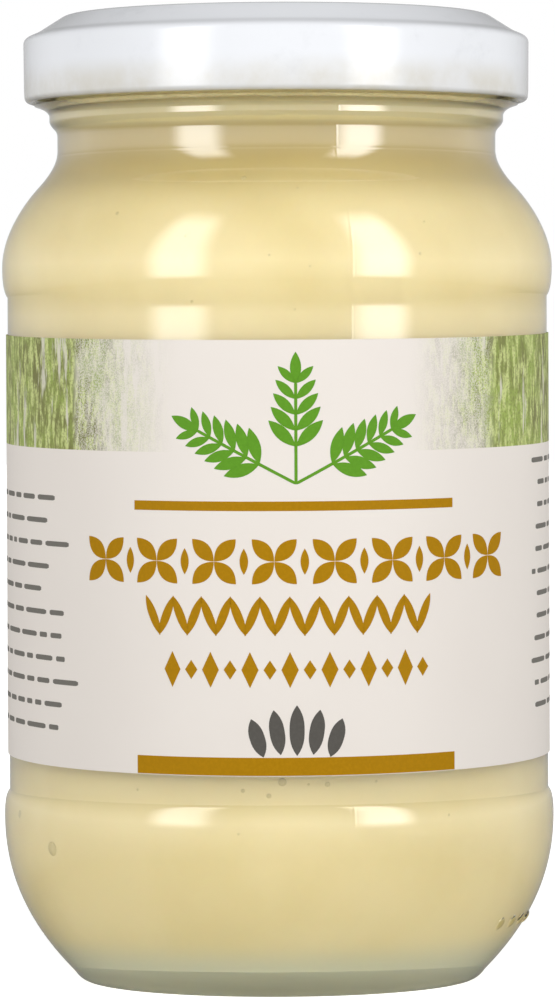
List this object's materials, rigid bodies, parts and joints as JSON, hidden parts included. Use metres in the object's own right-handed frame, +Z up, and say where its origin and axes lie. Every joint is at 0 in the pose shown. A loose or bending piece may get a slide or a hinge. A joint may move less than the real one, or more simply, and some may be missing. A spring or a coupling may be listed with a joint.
{
  "type": "mayonnaise jar",
  "caption": "Shut clear glass jar of mayonnaise with a white metal twist-off lid and a wrap-round paper label.",
  "frame": {"origin": "centre of the standing ring under the base, at floor level", "axes": "+Z up through the middle of the lid; the front of the label faces -Y; +X is to the viewer's right"},
  "size_m": [0.0664, 0.0664, 0.1163],
  "materials": {
    "glass_jar": "clear gloss",
    "mayonnaise": "smooth cream",
    "lid": "gloss white",
    "label": "satin"
  },
  "bodies": {
    "root": {"glass_jar": "glass_jar", "mayonnaise": "mayonnaise", "lid": "lid", "label": "label"}
  },
  "joints": []
}
